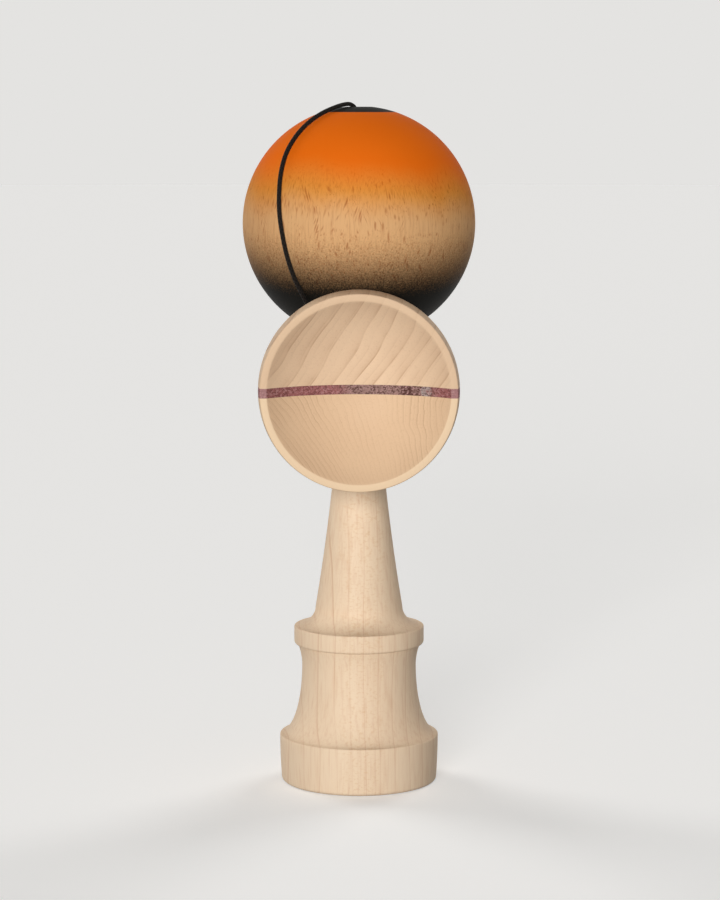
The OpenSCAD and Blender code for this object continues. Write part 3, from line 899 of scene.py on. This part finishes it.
class KENDAMA_OT_string(bpy.types.Operator):
    """Add the string: its run over the ball, its winding, its tail and its two knots"""
    bl_idname = "kendama.string"
    bl_label = "String"

    def knot(self, name, body, node, ends, string, material):
        """Tight knot between two points, on a body and in place of a node."""
        path = knot_path(*ends, KNOT_HIGH.x - KNOT_LOW.x, string.knot_strand)
        knot = cord_piece(name, [(path, string.knot_strand)], material)
        settle(knot, body, node)
        return knot

    def over_ball(self, tama, sarado, string, material):
        """Run from the knot under the bead, over the ball and down to the winding."""
        run = spline(run_points(tama, sarado, string), ROUTE_STEPS)
        over = cord_piece("string_over_ball", [(run, string.diameter)], material)
        low = run[-1]
        low + Vector((0, 0, FREE_STRETCH))
        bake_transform(over)
        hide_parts("string_run")
        ends = (Vector((0, 0, KNOT_HIGH.z)), Vector((0, 0, KNOT_LOW.z)))
        knot = self.knot("knot_under_bead", "string", "tama_knot", ends, string, material)
        path_length(run)

    def round_barrel(self, sarado, string, material):
        """Winding behind the big cup, where the spare length is put away."""
        winding = winding_points(sarado, string)
        wound_up = cord_piece("string_wound", [(winding, string.diameter)], material)
        settle(wound_up, "sarado", "string_winding")
        path_length(winding)

    def into_handle(self, sarado, string, material):
        """Tail from the winding to the knot in the handle, which stretches between the two side holes."""
        tail = spline(tail_points(sarado, string), ROUTE_STEPS)
        to_handle = cord_piece("string_to_handle", tail_tubes(tail, string), material)
        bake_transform(to_handle)
        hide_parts("string_tail")
        ends = (in_side_hole(KEN_KNOT_LOW.x), in_side_hole(KEN_KNOT_HIGH.x))
        knot = self.knot("knot_in_handle", "ken", "ken_knot", ends, string, material)
        path_length(tail)

    def execute(self, context):
        scene = context.scene
        sarado, string = scene.kendama_sarado, scene.kendama_string
        material = cord_finish(scene.kendama_colours)
        self.over_ball(scene.kendama_tama, sarado, string, material)
        self.round_barrel(sarado, string, material)
        self.into_handle(sarado, string, material)
        return {"FINISHED"}


class KENDAMA_OT_ken(bpy.types.Operator):
    """Add the turned handle with its base cup, ring and spike"""
    bl_idname = "kendama.ken"
    bl_label = "Ken"

    def outline(self, size, barrel_r):
        """Outline from the bottom of the base cup to the spike's tip, and the rounding of its edges."""
        foot_edge_r = size.foot_r - size.foot_round
        ring_top_z = size.ring_z + size.ring_h
        neck_z = ring_top_z + size.neck_rise
        seat_half = barrel_r + SEAT_RUN
        neck = (size.neck_r, neck_z, size.neck_slope)
        grip = (size.grip_r, size.grip_z, size.grip_slope)
        seat = (size.taper_r + size.taper_slope * seat_half, SARADO_Z - seat_half, -size.taper_slope)

        outline = bowl(foot_edge_r - size.foot_flat, size.cup_depth)
        outline[0] = (0, size.cup_depth)
        rounded = {len(outline) - 1: size.edge}

        # Foot and bulging side of the base
        outline += arc((foot_edge_r, size.foot_round), (size.foot_round, size.foot_round), -90, 0,
                       CORNER_STEPS)
        for t in steps(0, 1, CORNER_STEPS)[1:]:
            outline.append((size.base_r - (size.base_r - size.foot_r) * (1 - t) ** 2,
                            size.foot_round + (size.base_h - size.foot_round) * t))
        rounded[len(outline) - 1] = size.edge

        # Waist and its flare to the ring
        outline += arc((size.base_r, size.waist_z), (size.base_r - size.waist_r, size.waist_z - size.base_h),
                       270, 180, CURVE_STEPS)[1:]
        for t in steps(0, 1, CORNER_STEPS)[1:]:
            outline.append((size.waist_r + size.waist_flare * t ** 2,
                            size.waist_z + (size.ring_z - size.waist_z) * t))

        # Ring and the cove above it
        outline += arc((size.ring_r - size.ring_round, size.ring_z + size.ring_round),
                       (size.ring_round, size.ring_round), -89, 0, CORNER_STEPS)
        outline.append((size.ring_r, ring_top_z))
        rounded[len(outline) - 1] = size.edge
        outline += arc((size.ring_r, neck_z), (size.ring_r - size.neck_r, size.neck_rise), 270, 180,
                       CURVE_STEPS)[1:]

        # Grip, taper and spike
        outline += blend_curve(neck, grip, CURVE_STEPS)
        outline += blend_curve(grip, seat, CURVE_STEPS)
        outline.append((size.taper_r - size.taper_slope * seat_half, SARADO_Z + seat_half))
        outline += arc((0, TIP_Z - size.tip_h), (size.tip_r, size.tip_h), 0, 90, ROUND_STEPS)
        outline[-1] = (0, TIP_Z)
        return outline, rounded

    def execute(self, context):
        scene = context.scene
        size, string = scene.kendama_ken, scene.kendama_string
        outline, rounded = self.outline(size, scene.kendama_sarado.barrel_r)
        blank = turned(outline, rounded, closed=False)
        seat = in_side_hole(KEN_KNOT_LOW.x)
        far = 2 * size.taper_r
        string_hole = cone(in_side_hole(-far), seat, string.hole_r, string.hole_r)
        pocket = cone(seat, in_side_hole(far), string.pocket_r, string.pocket_r)
        handle = piece("handle", cut(blank, [string_hole, pocket]), handle_finish(scene.kendama_colours))
        settle(handle, "ken", "ken")
        return {"FINISHED"}


class KENDAMA_OT_sarado(bpy.types.Operator):
    """Add the crosspiece with its two cups, as two maple halves and the wine-red layer between them"""
    bl_idname = "kendama.sarado"
    bl_label = "Sarado"

    def cup_outline(self, size, shoulder_r, rim_r, depth):
        """One end from the barrel to the bottom of its cup, as (radius, distance from the middle)."""
        half = size.barrel_len / 2
        rim_s = SARADO_LEN / 2
        shoulder_s = rim_s - size.cup_wall
        cove = (shoulder_r - size.barrel_r, shoulder_s - half)
        outline = arc((shoulder_r, half), cove, 180, 90, CURVE_STEPS)
        rounded = {len(outline) - 1: size.shoulder_edge}
        for t in steps(0, 1, CORNER_STEPS)[1:]:
            outline.append((shoulder_r - (shoulder_r - rim_r) * t ** 2, shoulder_s + size.cup_wall * t))
        rounded[len(outline) - 1] = size.rim_edge
        hollow = [(radius, rim_s - down) for radius, down in reversed(bowl(rim_r - size.rim_w, depth))]
        rounded[len(outline)] = size.rim_edge
        hollow[-1] = (0, hollow[-1][1])
        return outline + hollow, rounded

    def blank(self, size, string, ken):
        """Whole crosspiece with its bore and the string's countersunk side hole."""
        big, big_rounded = self.cup_outline(size, size.big_shoulder_r, size.big_rim_r, size.big_depth)
        small, small_rounded = self.cup_outline(size, size.small_shoulder_r, size.small_rim_r,
                                                size.small_depth)
        outline = [(radius, -s) for radius, s in reversed(small)] + big
        rounded = {len(small) - 1 - i: rounding for i, rounding in small_rounded.items()}
        rounded.update({len(small) + i: rounding for i, rounding in big_rounded.items()})
        lay_down = Matrix.Translation((0, 0, SARADO_Z)) @ Matrix.Rotation(math.radians(90), 4, "X")
        solid = turned(outline, rounded, closed=False, axis_matrix=lay_down)
        reach = size.barrel_r + CUT_REACH
        low_r = ken.taper_r + ken.taper_slope * reach + size.bore_fit
        high_r = ken.taper_r - ken.taper_slope * reach + size.bore_fit
        bore = cone((0, 0, SARADO_Z - reach), (0, 0, SARADO_Z + reach), low_r, high_r, BORE_STEPS)
        face_x = -math.sqrt(size.barrel_r ** 2 - SIDE_DROP ** 2)
        sink = string.sink_w
        side_hole = cone(in_side_hole(0), in_side_hole(-reach), string.hole_r, string.hole_r)
        inner = string.hole_r / 2
        countersink = cone(in_side_hole(face_x + sink + inner), in_side_hole(face_x - sink),
                           string.hole_r - inner, string.hole_r + 2 * sink)
        return cut(solid, [bore, side_hole, countersink])

    def layer(self, bm, low, high):
        """Part of a copy of the crosspiece between two heights, or one of them."""
        part = bm.copy()
        for height, normal in ((low, (0, 0, -1)), (high, (0, 0, 1))):
            if height is None:
                continue
            everything = part.verts[:] + part.edges[:] + part.faces[:]
            made = bmesh.ops.bisect_plane(part, geom=everything, dist=PLANE_DIST, plane_co=(0, 0, height),
                                          plane_no=normal, clear_outer=True)
            edges = [item for item in made["geom_cut"] if isinstance(item, bmesh.types.BMEdge)]
            bmesh.ops.triangle_fill(part, edges=edges, use_beauty=True, normal=normal)
        bmesh.ops.dissolve_degenerate(part, dist=MERGE_DIST, edges=part.edges[:])
        bmesh.ops.recalc_face_normals(part, faces=part.faces[:])
        return part

    def execute(self, context):
        scene = context.scene
        colours = scene.kendama_colours
        solid = self.blank(scene.kendama_sarado, scene.kendama_string, scene.kendama_ken)
        upper = cup_finish("cup_maple_upper", colours, colours.cup_maple, colours.upper_rim_wood_and_shade, upper_rings,
                           spacing=4.5 * MM, line_depth=0.17, band_depth=0.28)
        lower = cup_finish("cup_maple_lower", colours, colours.low_maple, colours.lower_rim_wood_and_light, lower_rings,
                           spacing=1.7 * MM, line_depth=0.34, band_depth=0.12)
        stripe = stripe_finish(colours)
        layers = (
            ("cups_upper_half", "sarado_upper_half", "maple_cups", STRIPE_HIGH.z, None, upper),
            ("cups_stripe", "sarado_stripe", "purple_hardwood", STRIPE_LOW.z, STRIPE_HIGH.z, stripe),
            ("cups_lower_half", "sarado_lower_half", "maple_cups", None, STRIPE_LOW.z, lower),
        )
        for name, node, slot, low, high, material in layers:
            layer = piece(name, self.layer(solid, low, high), material)
            settle(layer, "sarado", node)
        solid.free()
        return {"FINISHED"}


class KENDAMA_OT_tama(bpy.types.Operator):
    """Add the drilled, painted ball"""
    bl_idname = "kendama.tama"
    bl_label = "Tama"

    def execute(self, context):
        scene = context.scene
        size, string = scene.kendama_tama, scene.kendama_string
        centre_z = tama_centre_z(size)
        top_z = centre_z + TAMA_R
        mouth_r = size.hole_r + size.bevel_w
        hole_end_z = BEAD_HIGH.z + BEAD_GAP
        quarter = math.radians(45)
        sink_angle = quarter + math.asin((string.hole_r + string.sink_w - TAMA_R) / (TAMA_R * math.sqrt(2)))
        mouth_angle = math.degrees(math.asin((TAMA_LOW.z - centre_z) / TAMA_R))
        skin = arc((0, centre_z), (TAMA_R, TAMA_R), 90 - math.degrees(sink_angle), mouth_angle, SKIN_STEPS)
        outline = [(string.hole_r, hole_end_z), (string.hole_r, top_z - string.sink_w), *skin]
        last = len(outline) - 1
        outline += [(size.hole_r, TAMA_LOW.z + size.bevel_w), (size.hole_r, hole_end_z)]
        rounded = {2: size.edge, last: size.edge, last + 1: size.edge}
        if abs(outline[last][0] - mouth_r) > MM:
            raise RuntimeError("The ball's skin doesn't end at its mouth.")
        solid = turned(outline, rounded, closed=True)
        ball = piece("ball", solid, tama_finish(scene.kendama_colours, size, centre_z))
        settle(ball, "tama", "tama")
        return {"FINISHED"}


class KENDAMA_OT_bead(bpy.types.Operator):
    """Add the bead on the string inside the ball"""
    bl_idname = "kendama.bead"
    bl_label = "Bead"

    def execute(self, context):
        scene = context.scene
        hole_r = scene.kendama_string.hole_r
        bead_r = BEAD_HIGH.x
        round_r = (BEAD_HIGH.z - BEAD_LOW.z) / 4
        socket_r = KNOT_HIGH.x + BEAD_GAP
        socket_z = KNOT_HIGH.z + BEAD_GAP
        outline = [(hole_r, socket_z), (socket_r, socket_z), (socket_r, BEAD_LOW.z)]
        outline += arc((bead_r - round_r, BEAD_LOW.z + round_r), (round_r, round_r), -90, 0, ROUND_STEPS)
        outline += arc((bead_r - round_r, BEAD_HIGH.z - round_r), (round_r, round_r), 0, 90, ROUND_STEPS)
        outline += [(hole_r, BEAD_HIGH.z)]
        bead = piece("bead", turned(outline, {}, closed=True), bead_finish(scene.kendama_colours))
        settle(bead, "string", "tama_bead")
        return {"FINISHED"}


# Radius of the floor in metres, the light that it gives the camera by itself, so that with the lamps it
# shows its written colour, and the even light from all round
FLOOR_R = 6
FLOOR_GLOW = 0.46
SOFT_LIGHT = 0.03


class KENDAMA_OT_stage(bpy.types.Operator):
    """Add the pale floor, the background and the soft studio lights"""
    bl_idname = "kendama.stage"
    bl_label = "Stage"

    def lamp(self, context, name, left, up, softness, strength):
        """Distant soft lamp, at angles in degrees to the left of the front and above the floor."""
        light = bpy.data.lights.new(name, "SUN")
        light.angle = math.radians(softness)
        light.energy = strength
        obj = bpy.data.objects.new(name, light)
        obj.location = (0, 0, 1)
        obj.rotation_euler = (math.radians(90 - up), 0, math.radians(-left))
        context.collection.objects.link(obj)
        return obj

    def floor_finish(self, pale):
        """Pale paper that keeps the object's shadow and throws little light back on it."""
        finish = Finish("floor_paper", Roughness=0.9, Specular_IOR_Level=0.0, Emission_Strength=FLOOR_GLOW)
        seen = finish.ray("Camera") + finish.ray("Glossy") + finish.ray("Transmission")
        finish.surface({"Base Color": finish.mix(seen, (0.2, 0.2, 0.2), pale),
                        "Emission Color": finish.mix(seen, (0, 0, 0), pale)})
        return finish.material

    def world(self, scene, pale):
        """Weak even light, behind which the camera and reflections see the floor's colour."""
        scene.world = bpy.data.worlds.new("studio")
        scene.world.use_nodes = True
        nodes = Nodes(scene.world.node_tree)
        soft = nodes.add("ShaderNodeBackground", sockets={"Color": (1, 1, 1, 1), "Strength": SOFT_LIGHT})
        seen = nodes.add("ShaderNodeBackground", sockets={"Color": opaque(pale), "Strength": 1.0})
        shows = nodes.ray("Camera") + nodes.ray("Glossy") + nodes.ray("Transmission")
        mixed = nodes.add("ShaderNodeMixShader", sockets={0: shows, 1: soft, 2: seen})
        nodes.feed(nodes.tree.nodes["World Output"].inputs["Surface"], mixed)

    def execute(self, context):
        scene = context.scene
        pale = scene.kendama_colours.floor
        bm = bmesh.new()
        bmesh.ops.create_circle(bm, cap_ends=True, segments=SPIN_STEPS, radius=FLOOR_R)
        piece("floor", bm, self.floor_finish(pale))
        self.world(scene, pale)
        self.lamp(context, "key", left=10, up=7, softness=24, strength=3.2)
        self.lamp(context, "fill", left=-60, up=20, softness=60, strength=0.05)
        self.lamp(context, "top", left=0, up=75, softness=40, strength=0.1)
        for name, left in (("back_left", 135), ("back_right", -145)):
            back = self.lamp(context, name, left=left, up=25, softness=30, strength=1.3)
            back.visible_glossy = False
        scene.view_settings.view_transform = "Standard"
        return {"FINISHED"}


class KENDAMA_PT_sidebar(bpy.types.Panel):
    """Panel that lists the kendama's pieces"""
    bl_label = "Kendama"
    bl_idname = "KENDAMA_PT_sidebar"
    bl_space_type = "VIEW_3D"
    bl_region_type = "UI"
    bl_category = "Kendama"

    def draw(self, context):
        for operator in MAKERS:
            self.layout.operator(operator.bl_idname)
        for group in GROUPS:
            settings = getattr(context.scene, group)
            box = self.layout.box()
            for name in settings.bl_rna.properties.keys():
                if name not in ("rna_type", "name"):
                    box.prop(settings, name)


MAKERS = (KENDAMA_OT_camera, KENDAMA_OT_string, KENDAMA_OT_ken, KENDAMA_OT_sarado, KENDAMA_OT_tama,
          KENDAMA_OT_bead, KENDAMA_OT_stage)
GROUPS = {
    "kendama_ken": KenSizes,
    "kendama_sarado": SaradoSizes,
    "kendama_tama": TamaSizes,
    "kendama_string": StringSizes,
    "kendama_colours": KendamaColours,
}


def register():
    for cls in (*GROUPS.values(), *MAKERS, KENDAMA_PT_sidebar):
        bpy.utils.register_class(cls)
    for name, group in GROUPS.items():
        setattr(bpy.types.Scene, name, PointerProperty(type=group))


def unregister():
    for name in GROUPS:
        delattr(bpy.types.Scene, name)
    for cls in (*GROUPS.values(), *MAKERS, KENDAMA_PT_sidebar):
        bpy.utils.unregister_class(cls)


def main():
    register()
    bpy.ops.kendama.camera()
    bpy.ops.kendama.string()
    bpy.ops.kendama.ken()
    bpy.ops.kendama.sarado()
    bpy.ops.kendama.tama()
    bpy.ops.kendama.bead()
    bpy.ops.kendama.stage()


if __name__ == "__main__":
    main()
